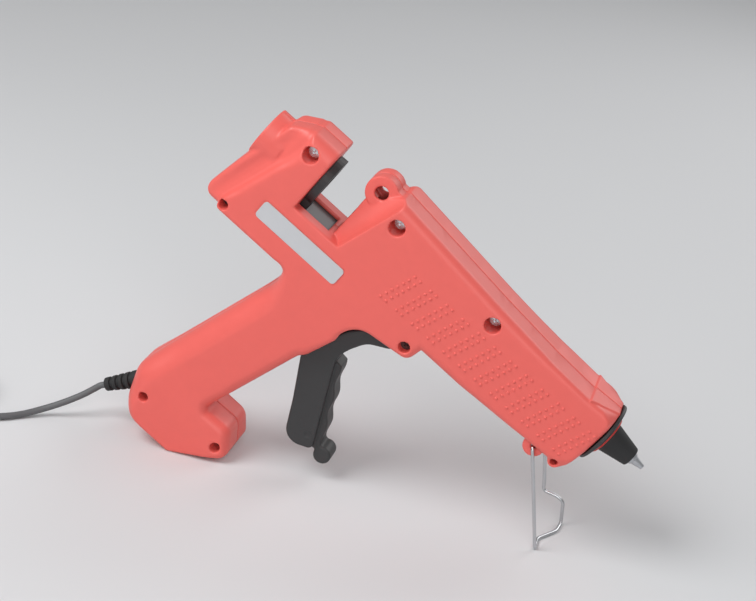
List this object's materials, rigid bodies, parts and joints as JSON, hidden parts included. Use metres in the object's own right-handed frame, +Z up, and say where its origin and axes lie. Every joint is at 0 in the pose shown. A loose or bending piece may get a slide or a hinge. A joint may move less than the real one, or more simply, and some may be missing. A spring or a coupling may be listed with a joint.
{
  "type": "hot glue applicator",
  "caption": "Pistol-shaped hot glue applicator with a finger trigger, a stick feed notch, a hot nozzle, a folding wire stand and a mains cord.",
  "frame": {"origin": "on the floor under the middle of the gun's length, on the seam plane, measured without the cord", "axes": "+X forward, the way the barrel points seen from above; +Y to the side without screw heads; +Z up"},
  "size_m": [0.5101, 0.0773, 0.201],
  "materials": {
    "red_plastic": "satin moulded red plastic",
    "black_plastic": "black moulded plastic",
    "grey_plastic": "grey moulded plastic",
    "black_rubber": "black silicone rubber",
    "red_rubber": "red silicone rubber",
    "cord_grey": "grey cord jacket",
    "zinc_steel": "zinc plated steel",
    "cast_aluminium": "cast aluminium",
    "brass": "turned brass",
    "ceramic": "white ceramic",
    "label_silver": "bare silver plate"
  },
  "bodies": {
    "gun_body": {"left_housing": "red_plastic", "right_housing": "red_plastic", "head_screw": "zinc_steel", "eyelet_screw": "zinc_steel", "barrel_screw": "zinc_steel", "lug_screw": "zinc_steel", "nose_screw": "zinc_steel", "rear_screw": "zinc_steel", "butt_screw": "zinc_steel", "foot_screw": "zinc_steel", "lever_pin": "zinc_steel", "return_spring": "zinc_steel", "stick_guide": "grey_plastic", "melt_chamber": "cast_aluminium", "heater": "ceramic", "rear_support": "ceramic", "front_support": "ceramic", "front_ring": "black_plastic", "red_seal_ring": "red_rubber", "nozzle": "brass", "nozzle_sleeve": "black_rubber", "label_plate": "label_silver", "terminal_block": "ceramic", "live_lead": "red_rubber", "neutral_lead": "grey_plastic", "cord_clamp": "black_plastic", "clamp_screw_rear": "zinc_steel", "clamp_screw_front": "zinc_steel", "strain_relief": "cord_grey", "inner_cord": "cord_grey", "cord": "cord_grey", "cord_coil": "cord_grey", "cord_tie": "black_plastic", "plug": "cord_grey", "plug_pin_left": "brass", "plug_pin_right": "brass"},
    "trigger": {"trigger": "black_plastic"},
    "feed_lever": {"feed_lever": "grey_plastic"},
    "feed_slide": {"feed_slide": "grey_plastic", "slide_pin": "zinc_steel", "feed_clamp": "black_plastic", "clamp_grip_ring": "black_rubber"},
    "wire_stand": {"wire_stand": "zinc_steel"}
  },
  "joints": [
    {"name": "trigger_pull", "type": "hinge", "parent": "gun_body", "child": "trigger", "pos_m": [0.00817, 0, 0.09578], "axis": [0, 1, 0], "range_deg": [0, 14], "stiffness_Nm_per_rad": 0.6, "springref_deg": -8.59},
    {"name": "lever_swing", "type": "hinge", "parent": "gun_body", "child": "feed_lever", "pos_m": [-0.05087, 0, 0.10372], "axis": [0, 1, 0], "range_deg": [0, 27.3]},
    {"name": "feed_travel", "type": "slide", "parent": "gun_body", "child": "feed_slide", "axis": [0.8572, 0, -0.515], "range_m": [0, 0.014], "deforming": ["return_spring"]},
    {"name": "stand_fold", "type": "hinge", "parent": "gun_body", "child": "wire_stand", "pos_m": [0.08321, 0, 0.05757], "axis": [0, 1, 0], "range_deg": [0, 120]}
  ],
  "couplings": [
    {"joint": "lever_swing", "follows": "trigger_pull", "ratio": 1.945},
    {"joint": "feed_travel", "follows": "trigger_pull", "m_per_rad": 0.0572}
  ]
}
